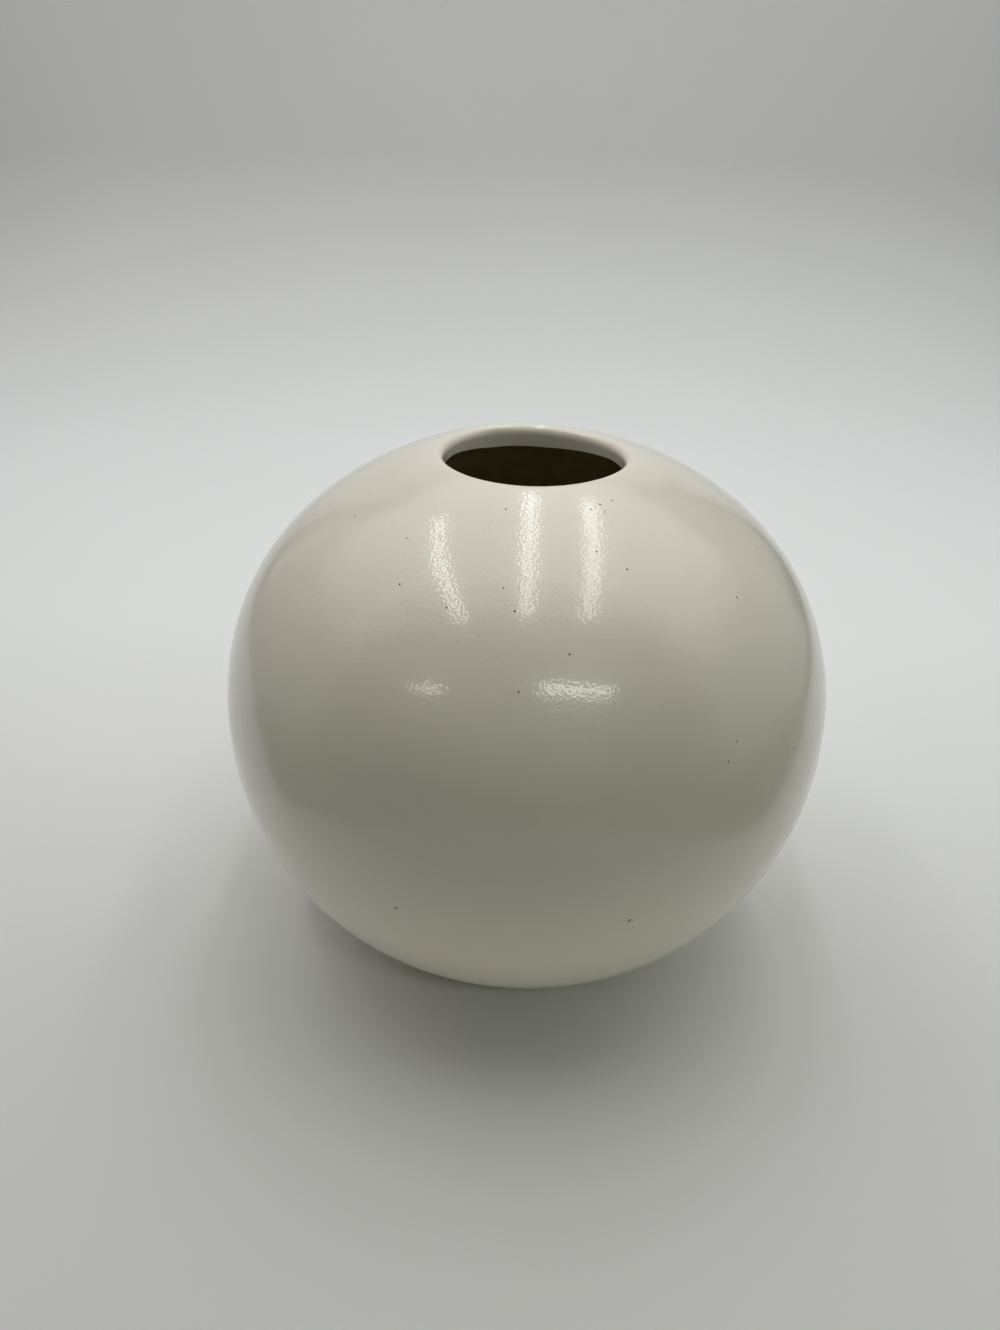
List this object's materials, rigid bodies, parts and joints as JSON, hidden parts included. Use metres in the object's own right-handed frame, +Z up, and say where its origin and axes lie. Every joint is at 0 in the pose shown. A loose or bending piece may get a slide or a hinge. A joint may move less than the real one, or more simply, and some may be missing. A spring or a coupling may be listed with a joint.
{
  "type": "round ceramic vase",
  "caption": "Ball-shaped stoneware vase with a small rounded mouth, satin off-white glaze outside, a clear liner glaze over the buff clay inside and a recessed foot; holds water and cut stems.",
  "frame": {"origin": "middle of the foot ring, on the surface that the vase stands on", "axes": "+Z up along the vase's axis, -Y towards the picture's camera, +X to the right in the picture"},
  "size_m": [0.2, 0.2, 0.1707],
  "materials": {
    "stoneware": "bare fired stoneware clay, fine grained and matt",
    "satin_glaze": "satin off-white sprayed glaze with a fine orange peel and a few pinholes",
    "liner_glaze": "glossy clear liner glaze over buff clay"
  },
  "bodies": {
    "root": {"stoneware_body": "stoneware", "outer_glaze": "satin_glaze", "liner_glaze": "liner_glaze"}
  },
  "joints": []
}
